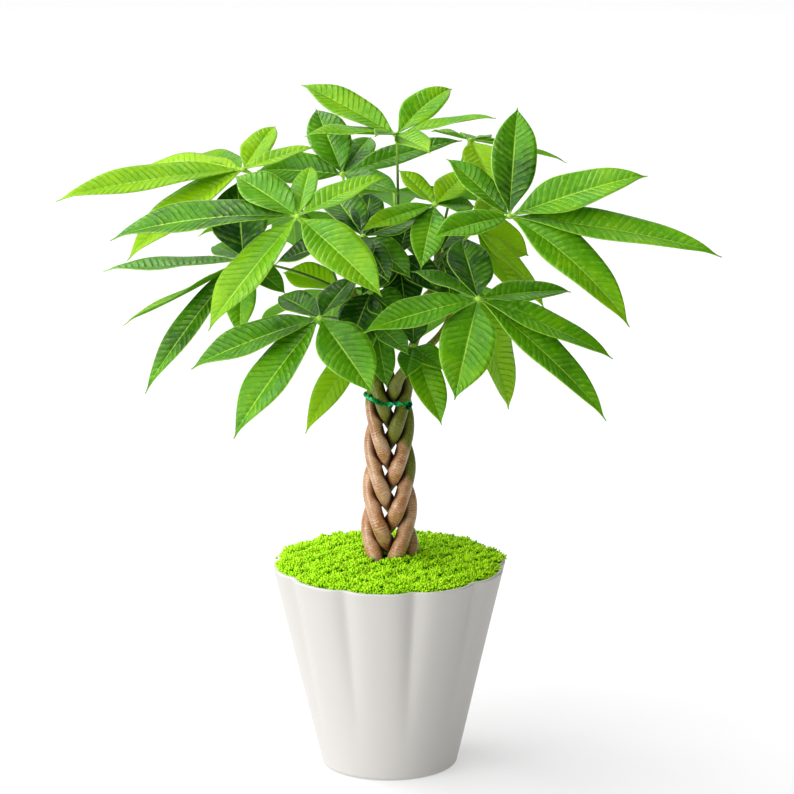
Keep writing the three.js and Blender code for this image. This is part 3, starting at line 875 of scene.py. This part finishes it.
def pot_rings(settings):
    """Radius and height of each ring, up the outside, over the rim and down inside"""
    foot = pot_round(settings, POT_EDGE_ROUND) - POT_EDGE_ROUND
    rings = [
        (foot + POT_EDGE_ROUND * math.sin(a), POT_EDGE_ROUND * (1 - math.cos(a)))
        for a in np.linspace(0, TURN / 4, 6)
    ]
    top = POT_TOP - POT_RIM_ROUND
    for height in np.arange(POT_EDGE_ROUND + POT_LEVEL_STEP, top, POT_LEVEL_STEP):
        rings.append((pot_round(settings, height), height))
    middle = pot_round(settings, top) - settings.wall / 2
    reach = settings.wall / 2
    for a in np.linspace(0, TURN / 2, 9):
        rings.append((middle + reach * math.cos(a), top + POT_RIM_ROUND * math.sin(a)))
    for height in np.arange(top - POT_LEVEL_STEP, POT_FLOOR, -POT_LEVEL_STEP * 2):
        rings.append((pot_round(settings, height) - settings.wall, height))
    rings.append((pot_round(settings, POT_FLOOR) - settings.wall, POT_FLOOR))
    return rings


class PLANT_OT_pot(bpy.types.Operator):
    """Make the scalloped pot"""

    bl_idname = "plant.pot"
    bl_label = "Pot"

    def execute(self, context):
        settings = context.scene.plant.pot
        rings = pot_rings(settings)
        deselect()
        bpy.ops.mesh.primitive_circle_add(
            vertices=POT_SIDES, radius=rings[0][0], fill_type="NGON", rotation=(0, 0, FRONT_VALLEY)
        )
        pot = bpy.context.object
        bpy.ops.object.transform_apply()
        bpy.ops.object.mode_set(mode="EDIT")
        for (radius, height), (next_radius, next_height) in zip(rings, rings[1:]):
            rise = (0, 0, next_height - height)
            bpy.ops.mesh.extrude_region_move(TRANSFORM_OT_translate={"value": rise})
            grow = next_radius / radius
            bpy.ops.transform.resize(value=(grow, grow, 1), center_override=(0, 0, next_height))
        bpy.ops.object.mode_set(mode="OBJECT")
        points = points_of(pot)
        radius = np.hypot(points[:, 0], points[:, 1])
        angle = np.arctan2(points[:, 1], points[:, 0])
        inwards = scallop(settings, points[:, 2], angle)
        points[:, :2] *= (1 - inwards / radius)[:, None]
        move_points(pot, points)
        join([pot], "scalloped_pot")
        finish_piece(pot, pot_finish(settings), "pot", "pot", smooth=math.radians(40))
        return {"FINISHED"}


# Soil and moss

class PLANT_OT_soil(bpy.types.Operator):
    """Give the potting mix its crumbly finish"""

    bl_idname = "plant.soil"
    bl_label = "Soil"

    def execute(self, context):
        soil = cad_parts["soil"]
        soil.data.materials.clear()
        soil.data.materials.append(soil_finish(context.scene.plant.soil))
        return {"FINISHED"}


def moss_rise(x, y, inside):
    """Height of the moss, which falls to its edge as inside goes from 1 to 0"""
    height, right, back, phase = MOSS_LUMP
    lump = height * np.sin(x * right + phase) * np.cos(y * back)
    height, right, back = MOSS_SWELL
    swell = height * np.sin(x * right + y * back)
    return MOSS_EDGE + (MOSS_DOME + lump + swell) * inside


def moss_outline(pot, angle):
    """How far out the moss fills the pot at an angle"""
    round_radius = pot_round(pot, MOSS_EDGE) - pot.wall - MOSS_GAP
    return round_radius - scallop(pot, MOSS_EDGE, angle)


def moss_bed(pot):
    """The bed: a square grid bent to the pot's outline, raised and thickened"""
    bed = grid(MOSS_BED_CELLS, MOSS_BED_CELLS)
    square = points_of(bed)
    x = square[:, 0] * np.sqrt(1 - square[:, 1] ** 2 / 2)
    y = square[:, 1] * np.sqrt(1 - square[:, 0] ** 2 / 2)
    out = np.hypot(x, y)
    reach = moss_outline(pot, np.arctan2(y, x))
    x, y = x * reach, y * reach
    inside = np.sqrt(np.clip(1 - out**2, 0, 1))
    height, right, bend, back = MOSS_CRUMBLE
    crumble = height * np.sin(x * right + 2 * np.sin(y * bend)) * np.sin(y * back)
    z = moss_rise(x, y, inside) - MOSS_BED_SINK + crumble * inside
    move_points(bed, np.stack([x, y, z], axis=-1))
    thicken(bed, MOSS_BED_DEPTH, -1)
    # The bed lies in the gaps between tufts, so it takes their painted shade
    write_attribute(bed, "height", 0)
    write_attribute(bed, "shade", 0.3)
    return bed


def moss_tuft(size):
    """One tuft of moss: short round fingers that lean out from its root, and one upright"""
    fingers = []
    for finger in range(TUFT_FINGERS + 1):
        upright = finger == TUFT_FINGERS
        angle = TURN * finger / TUFT_FINGERS
        lean = 0.0 if upright else TUFT_LEAN
        rise = 1.0 if upright else 0.55 + 0.12 * (finger % 2)
        place = (lean * math.cos(angle) * size, lean * math.sin(angle) * size, rise * size)
        bpy.ops.mesh.primitive_uv_sphere_add(
            segments=3,
            ring_count=2,
            radius=0.5 * size,
            location=place,
            rotation=(0, lean, angle),
            scale=(0.85, 0.85, 1.45),
        )
        fingers.append(bpy.context.object)
    select(*fingers)
    bpy.ops.object.transform_apply()
    return join(fingers, "tuft")


def tuft_places(settings, pot, random):
    """Where tufts stand, which way is outwards there and how far out they are"""
    reach = pot.mouth_diameter / 2
    line = np.arange(-reach, reach, settings.spacing)
    x, y = np.meshgrid(line, line)
    x[::2] += settings.spacing / 2
    x = (x + random.uniform(-0.4, 0.4, x.shape) * settings.spacing).ravel()
    y = (y + random.uniform(-0.4, 0.4, y.shape) * settings.spacing).ravel()
    angle = np.arctan2(y, x)
    edge = moss_outline(pot, angle)
    spill = settings.overhang * random.uniform(-0.6, 1, x.shape) * smoothstep(y, -0.02, 0.01)
    spill -= MOSS_FRONT_INSET * smoothstep(y, -0.005, -0.03)
    out = np.hypot(x, y) / (edge + spill)
    keep = out < 1
    for stem in range(STEM_COUNT):
        centre = braid_point(stem, MOSS_EDGE + MOSS_DOME)
        keep &= np.hypot(x - centre[0], y - centre[1]) > TRUNK_CLEARANCE
    x, y, angle, out = x[keep], y[keep], angle[keep], out[keep]
    inside = np.sqrt(np.clip(1 - out**2, 0, 1))
    mound = settings.mound * np.exp(-((np.hypot(x, y) / MOUND_WIDTH) ** 2))
    z = moss_rise(x, y, inside) + mound + random.uniform(-0.0012, 0, x.shape)
    return np.stack([x, y, z], axis=-1), angle, out


class PLANT_OT_moss(bpy.types.Operator):
    """Make the moss: a lumpy bed and the tufts that cover it"""

    bl_idname = "plant.moss"
    bl_label = "Moss"

    def execute(self, context):
        settings = context.scene.plant.moss
        pot = context.scene.plant.pot
        random = np.random.default_rng(MOSS_SEED)
        bed = moss_bed(pot)
        tuft = moss_tuft(settings.tuft)
        shape = points_of(tuft)
        places, outwards, out = tuft_places(settings, pot, random)
        count = len(places)
        lean = 0.25 * random.standard_normal(count) + 0.9 * smoothstep(out, LEANING_EDGE, 1.0)
        spin = random.uniform(0, TURN, count)
        size = random.uniform(0.6, 1.3, count)
        axis = outwards + 0.6 * random.standard_normal(count) * (out < LEANING_EDGE)
        x, y = turned(shape[:, 0], shape[:, 1], spin[:, None])
        z, x = turned(shape[:, 2], x, lean[:, None])
        x, y = turned(x, y, axis[:, None])
        points = np.stack([x, y, z], axis=-1) * size[:, None, None] + places[:, None, :]
        corners = [list(face.vertices) for face in tuft.data.polygons]
        starts = range(0, count * len(shape), len(shape))
        faces = [[start + corner for corner in face] for start in starts for face in corners]
        tuft.data = bpy.data.meshes.new("tufts")
        tuft.data.from_pydata(points.reshape(-1, 3).tolist(), [], faces)
        height = shape[:, 2] / shape[:, 2].max()
        write_attribute(tuft, "height", np.tile(height, count))
        # Each tuft's shade: a random tone, lowered round the trunk to paint the stems' shadow on
        # the moss
        shade = random.uniform(0, 1, count)
        depth, reach = TRUNK_SHADE
        shade -= depth * np.exp(-((np.hypot(places[:, 0], places[:, 1]) / reach) ** 2))
        write_attribute(tuft, "shade", np.repeat(shade, len(shape)))
        material = moss_finish(settings)
        finish_piece(join([bed], "moss_bed"), material, "moss", "moss")
        finish_piece(join([tuft], "moss_tufts"), material, "moss", "moss")
        return {"FINISHED"}


# Stems and tie

def swing(waves, turn):
    """The sum of a path's waves at a turn"""
    return sum(c * math.cos(rate * turn) + s * math.sin(rate * turn) for rate, c, s in waves)


def braid_point(stem, height):
    """Where a stem's centre runs in the flat braid"""
    level = max(height, BRAID_FOOT)
    up = min((level - BRAID_FOOT) / (BRAID_TOP - BRAID_FOOT), 1)
    size = BRAID_WIDTH[0] + (BRAID_WIDTH[1] - BRAID_WIDTH[0]) * up
    turn = TURN * ((BRAID_START - level) / BRAID_PITCH + stem / STEM_COUNT)
    behind = swing(BRAID_BEHIND, turn) - BRAID_FORWARD
    return np.array([-size * swing(BRAID_ACROSS, turn), size * behind, height])


def shoot_line(stem):
    """The line of the shoot that a stem grows into above the tie"""
    start = braid_point(stem, BRAID_TOP)
    leaving = start - braid_point(stem, BRAID_TOP - 0.001)
    tip = np.array(SHOOT_TIPS[stem])
    rising = start + leaving / 0.001 * SHOOT_RISE
    return bezier([start, rising, tip - (0, 0, SHOOT_RISE), tip], np.linspace(0, 1, 120))


def bark_shade(settings, stem, points):
    """How close each point of a stem lies to another stem of the braid, and how close it lies to
    the moss: the mask of the shade painted on the bark
    """
    room = np.full(points.shape[:2], 1.0)
    heights = points[..., 2].mean(axis=1)
    for other in range(STEM_COUNT):
        if other != stem:
            centres = np.array([braid_point(other, height) for height in heights])
            away = lengths((points - centres[:, None, :])[..., :2])
            room = np.minimum(room, away - settings.foot_radius)
    braided = 1 - smoothstep(heights, BRAID_TOP, BRAID_TOP + 0.01)
    close = (1 - smoothstep(room, -0.001, 0.0045)) * braided[:, None]
    # Shade is also painted where a stem goes into the moss
    foot = 1 - smoothstep(points[..., 2], MOSS_EDGE + MOSS_DOME, MOSS_EDGE + 2.6 * MOSS_DOME)
    return np.maximum(close, 0.45 * foot)


def ringed_stem(settings, stem):
    """A stem from its foot in the soil to its shoot's tip, with uneven rings"""
    buried = np.arange(STEM_FOOT, SHOWN_FOOT, BURIED_STEP)
    shown = np.arange(SHOWN_FOOT, BRAID_TOP, SHOWN_STEP)
    braid = np.array([braid_point(stem, z) for z in (*buried, *shown)])
    shoot = along_line(shoot_line(stem), np.linspace(0.01, 1, 70))
    centres = np.vstack([braid, shoot])
    up = np.clip((centres[:, 2] - BRAID_FOOT) / (BRAID_TOP - BRAID_FOOT), 0, 1)
    radii = settings.foot_radius + (settings.top_radius - settings.foot_radius) * up
    shares = np.linspace(0, 1, len(shoot))
    radii[-len(shoot):] += (settings.tip_radius - settings.top_radius) * np.sqrt(shares)
    piece = tube(f"stem_{stem + 1}_bark", centres, radii, STEM_SIDES)
    points = points_of(piece).reshape(len(centres), STEM_SIDES, 3)
    along = travelled(centres)
    angle = np.linspace(0, TURN, STEM_SIDES, endpoint=False)
    rings = along / settings.ring_spacing + 0.35 * np.sin(along * 610 + stem)
    rings = rings[:, None] + 0.16 * np.sin(2 * angle + stem) + 0.1 * np.sin(3 * angle)
    ridge = np.cos(TURN * rings)
    swell = np.sin(along * 430 + 2.4 * stem)[:, None] * np.cos(angle + along[:, None] * 160)
    height = settings.ring_relief * ridge + 1.2 * settings.ring_relief * swell
    height *= (1 - 0.6 * smoothstep(centres[:, 2], BRAID_TOP, BRAID_TOP + 0.02))[:, None]
    spokes = points - centres[:, None, :]
    points += spokes * (height / lengths(spokes))[..., None]
    move_points(piece, points)
    youth = smoothstep(points @ YOUTH_SLOPE + STEM_YOUTH[stem], *YOUTH_RANGE)
    # The third number marks where shade is painted on the bark
    values = np.stack([rings, youth, bark_shade(settings, stem, points)], axis=-1)
    write_attribute(piece, "bark", values.reshape(-1, 3))
    return piece


class PLANT_OT_stems(bpy.types.Operator):
    """Make the five ringed stems of the braid"""

    bl_idname = "plant.stems"
    bl_label = "Stems"

    def execute(self, context):
        settings = context.scene.plant.stems
        material = bark_finish(settings)
        for stem in range(STEM_COUNT):
            piece = ringed_stem(settings, stem)
            finish_piece(piece, material, "bark", f"stem_{stem + 1}")
        return {"FINISHED"}


def tie_loop(settings):
    """The loop touches whichever stem stands out furthest at each angle"""
    loop = []
    for step in np.linspace(TIE_SEAM, 1 - TIE_SEAM, TIE_STEPS):
        angle = TIE_SEAM_ANGLE + TURN * step
        outwards = np.array([math.cos(angle), math.sin(angle), 0])
        height = TIE_HEIGHT + TIE_SLOPE * BRAID_WIDTH[1] * outwards[0]
        centres = [braid_point(stem, height) for stem in range(STEM_COUNT)]
        outermost = max(centres, key=lambda centre: centre @ outwards)
        loop.append(outermost + outwards * settings.reach)
    loop = np.array(loop)
    blur = np.ones(TIE_BLUR) / TIE_BLUR
    padded = np.pad(loop, ((TIE_BLUR // 2, TIE_BLUR // 2), (0, 0)), "edge")
    return np.stack([np.convolve(padded[:, k], blur, "valid") for k in range(3)], axis=-1)


def ribbon(name, centres, settings, twists):
    """A tube flattened to a ribbon and twisted as it runs"""
    radius = settings.width / 2
    piece = tube(name, centres, [radius] * len(centres), TIE_SIDES)
    points = points_of(piece).reshape(len(centres), TIE_SIDES, 3)
    first = (points[:, 0] - centres)[:, None, :]
    second = (points[:, TIE_SIDES // 4] - centres)[:, None, :]
    around = np.linspace(0, TURN, TIE_SIDES, endpoint=False)[None, :]
    wide = np.cos(around)
    thin = np.sin(around) * settings.thickness / settings.width
    twist = np.linspace(0, TURN * twists, len(centres))[:, None]
    twist = twist + 0.5 * np.sin(twist * 0.37)
    wide, thin = turned(wide, thin, twist)
    move_points(piece, centres[:, None, :] + first * wide[..., None] + second * thin[..., None])
    return piece


class PLANT_OT_tie(bpy.types.Operator):
    """Make the twisted foil tie round the top of the braid"""

    bl_idname = "plant.tie"
    bl_label = "Tie"

    def execute(self, context):
        settings = context.scene.plant.tie
        loop = tie_loop(settings)
        parts = [ribbon("loop", loop, settings, settings.twists)]
        for side in (-1, 1):
            lean = np.array([0.0006 * side, 0, -0.0008 * (side > 0)])
            knots = loop[0] + np.array(TIE_TAIL) + np.outer((0, 0.5, 1), lean)
            tail = bezier(knots, np.linspace(0, 1, TAIL_STEPS))
            parts.append(ribbon("tail", tail, settings, TAIL_TWISTS))
        tie = join(parts, "foil_tie")
        finish_piece(tie, foil_finish(settings), "tie", "twist_tie", smooth=math.radians(50))
        return {"FINISHED"}


# Leaves

def leaflet_blade(settings, hub, lean, tone, leaflet):
    """A quilted blade on an arched spine, folded up on both sides of its middle vein"""
    tip, width = np.array(leaflet[:3]), leaflet[3]
    yellow_and_light, turned_back, arch = *leaflet[4:], *LEAFLET_DEFAULTS[len(leaflet) - 4:]
    reach = lengths(tip - hub)
    vein_count = int(np.clip(round(reach / settings.vein_spacing) + 3, *VEIN_COUNTS))
    blade = grid(BLADE_ACROSS, vein_count * ROWS_PER_VEIN)
    flat = points_of(blade)
    across = np.sign(flat[:, 0]) * abs(flat[:, 0]) ** BLADE_CROWDING
    out = abs(across)
    line = (flat[:, 1] + 1) / 2
    slant = VEIN_SLANT * width / 2 / reach
    along = line + slant * out * 4 * line * (1 - line)
    middle = (hub + tip) / 2 + (0, 0, 2 * arch * reach)
    spine = bezier([hub, middle, tip], along)
    heading = (middle - hub) * (1 - along)[:, None] + (tip - middle) * along[:, None]
    heading /= lengths(heading)[:, None]
    face = np.array([lean[0], lean[1] + turned_back, 1])
    side = np.cross(heading, face)
    side /= lengths(side)[:, None]
    up = np.cross(side, heading)
    half = np.maximum(width / 2 * smooth_line(BLADE_OUTLINE, along), LEAST_HALF_WIDTH)
    half = np.maximum(half, FOOT_HALF_WIDTH * smoothstep(1 - along, 0.5, 1.0))
    wave = BLADE_WAVE[0] * np.sin(TURN * BLADE_WAVE[1] * along + np.sign(across))
    fold = math.sin(BLADE_FOLD) * (1.5 * out - 0.5 * out**2)
    pillow = abs(np.sin(math.pi * vein_count * line))
    pillow *= np.sin(math.pi * np.clip(out, 0, 1) ** 0.7)
    fade = smoothstep(half, 0.001, 0.006)
    lift = half * (fold + wave * out) + settings.quilt * pillow * fade
    lift -= settings.droop * reach * smoothstep(along, TIP_START, 1) ** 2
    lift -= settings.groove * np.exp(-((across * half / GROOVE_WIDTH) ** 2)) * fade
    aside = across * half * math.cos(BLADE_FOLD)
    move_points(blade, spine + side * aside[:, None] + up * lift[:, None])
    write_attribute(blade, "blade", np.stack([across, line * vein_count, along], axis=-1))
    # The tone is the leaf's yellowness and also its painted light and shade
    write_attribute(blade, "tone", tone + yellow_and_light)
    return blade


def leaf_stalk(settings, stem, start_share, hub):
    """The stalk, swollen where it leaves the shoot and where it meets the leaflets"""
    start = along_line(shoot_line(stem - 1), [start_share])[0]
    bend = start + (hub - start) * PETIOLE_BEND[0]
    bend[2] = start[2] + (hub[2] - start[2]) * PETIOLE_BEND[1]
    shares = np.linspace(0, 1, 28)
    centres = bezier([start, bend, hub], shares)
    swollen = 0.7 * smoothstep(shares, 0.12, 0.0) + 0.8 * smoothstep(shares, 0.93, 1.0)
    return tube("stalk", centres, settings.stalk_radius * (1 + swollen), 10)


def palmate_leaf(settings, name, leaf):
    """A whole leaf: its leaflets, the hub that joins them and its stalk"""
    stem, start_share, hub, lean, tone, leaflets = leaf
    hub = np.array(hub)
    blades = [leaflet_blade(settings, hub, lean, tone, leaflet) for leaflet in leaflets]
    blade = join(blades, name)
    top_points = len(blade.data.vertices)
    thicken(blade, settings.blade, 0)
    write_attribute(blade, "under", np.arange(len(blade.data.vertices)) >= top_points)
    bpy.ops.mesh.primitive_uv_sphere_add(
        segments=16, ring_count=10, radius=settings.hub_radius, location=hub, scale=(1, 1, 0.8)
    )
    knob = bpy.context.object
    bpy.ops.object.transform_apply()
    stalk = leaf_stalk(settings, stem, start_share, hub)
    for part in (knob, stalk):
        write_attribute(part, "tone", tone)
    from_hub = lengths(points_of(stalk) - hub)
    values = np.stack([from_hub * 0 + 1, from_hub * 0, -from_hub / from_hub.max()], axis=-1)
    write_attribute(stalk, "blade", values)
    return join([blade, knob, stalk], f"{name}_blades")


class PLANT_OT_leaves(bpy.types.Operator):
    """Make the palmate leaves, each with its stalk, hub and veined leaflets"""

    bl_idname = "plant.leaves"
    bl_label = "Leaves"

    def execute(self, context):
        settings = context.scene.plant.leaves
        material = leaf_finish(settings)
        for name, leaf in LEAVES.items():
            node = f"leaf_{name}"
            finish_piece(palmate_leaf(settings, node, leaf), material, "leaf", node)
        return {"FINISHED"}


# Stage

class PLANT_OT_stage(bpy.types.Operator):
    """Set the pale floor, the soft studio light and the camera"""

    bl_idname = "plant.stage"
    bl_label = "Stage"

    def execute(self, context):
        settings = context.scene.plant.stage
        deselect()
        bpy.ops.mesh.primitive_plane_add(size=settings.floor_size)
        floor = bpy.context.object
        floor.name = "floor"
        floor.data.materials.append(floor_finish(settings))
        for name, kind, place, size in LIGHTS:
            turn = facing(place, LIGHT_AIM)
            bpy.ops.object.light_add(type=kind, location=place, rotation=turn)
            light = bpy.context.object.data
            light.energy = getattr(settings, name)
            setattr(light, "angle" if kind == "SUN" else "size", size)
        world = bpy.data.worlds.new("studio")
        world.use_nodes = True
        sky = world.node_tree.nodes["Background"]
        sky.inputs["Color"].default_value = (1, 1, 1, 1)
        sky.inputs["Strength"].default_value = settings.daylight
        context.scene.world = world
        place = (0, -settings.camera_distance, settings.camera_height)
        turn = facing(place, (0, 0, settings.aim_height))
        bpy.ops.object.camera_add(location=place, rotation=turn)
        camera = bpy.context.object
        camera.data.sensor_width = SENSOR_WIDTH
        camera.data.lens = SENSOR_WIDTH * FOCAL_PIXELS / PICTURE_SIDE
        camera.data.shift_x = 0.5 - AIM_PIXEL[0] / PICTURE_SIDE
        camera.data.shift_y = AIM_PIXEL[1] / PICTURE_SIDE - 0.5
        camera.data.clip_end = 50
        context.scene.camera = camera
        context.scene.view_settings.view_transform = "Standard"
        return {"FINISHED"}


# Sidebar and registration

MAKERS = (
    PLANT_OT_pot,
    PLANT_OT_soil,
    PLANT_OT_moss,
    PLANT_OT_stems,
    PLANT_OT_tie,
    PLANT_OT_leaves,
    PLANT_OT_stage,
)


class PLANT_PT_panel(bpy.types.Panel):
    """The plant's pieces, each with its sizes and colours"""

    bl_label = "Money Tree"
    bl_space_type = "VIEW_3D"
    bl_region_type = "UI"
    bl_category = "Money Tree"

    def draw(self, context):
        for maker in MAKERS:
            name = maker.bl_idname.split(".")[1]
            box = self.layout.box()
            box.operator(maker.bl_idname)
            settings = getattr(context.scene.plant, name)
            for key in settings.__annotations__:
                box.prop(settings, key)


CLASSES = (
    PotSettings,
    SoilSettings,
    MossSettings,
    StemSettings,
    TieSettings,
    LeafSettings,
    StageSettings,
    PlantSettings,
    *MAKERS,
    PLANT_PT_panel,
)


def register():
    for kind in CLASSES:
        bpy.utils.register_class(kind)
    bpy.types.Scene.plant = PointerProperty(type=PlantSettings)


def unregister():
    del bpy.types.Scene.plant
    for kind in reversed(CLASSES):
        bpy.utils.unregister_class(kind)


def main():
    register()
    bpy.ops.plant.pot()
    bpy.ops.plant.soil()
    bpy.ops.plant.moss()
    bpy.ops.plant.stems()
    bpy.ops.plant.tie()
    bpy.ops.plant.leaves()
    bpy.ops.plant.stage()


if __name__ == "__main__":
    main()
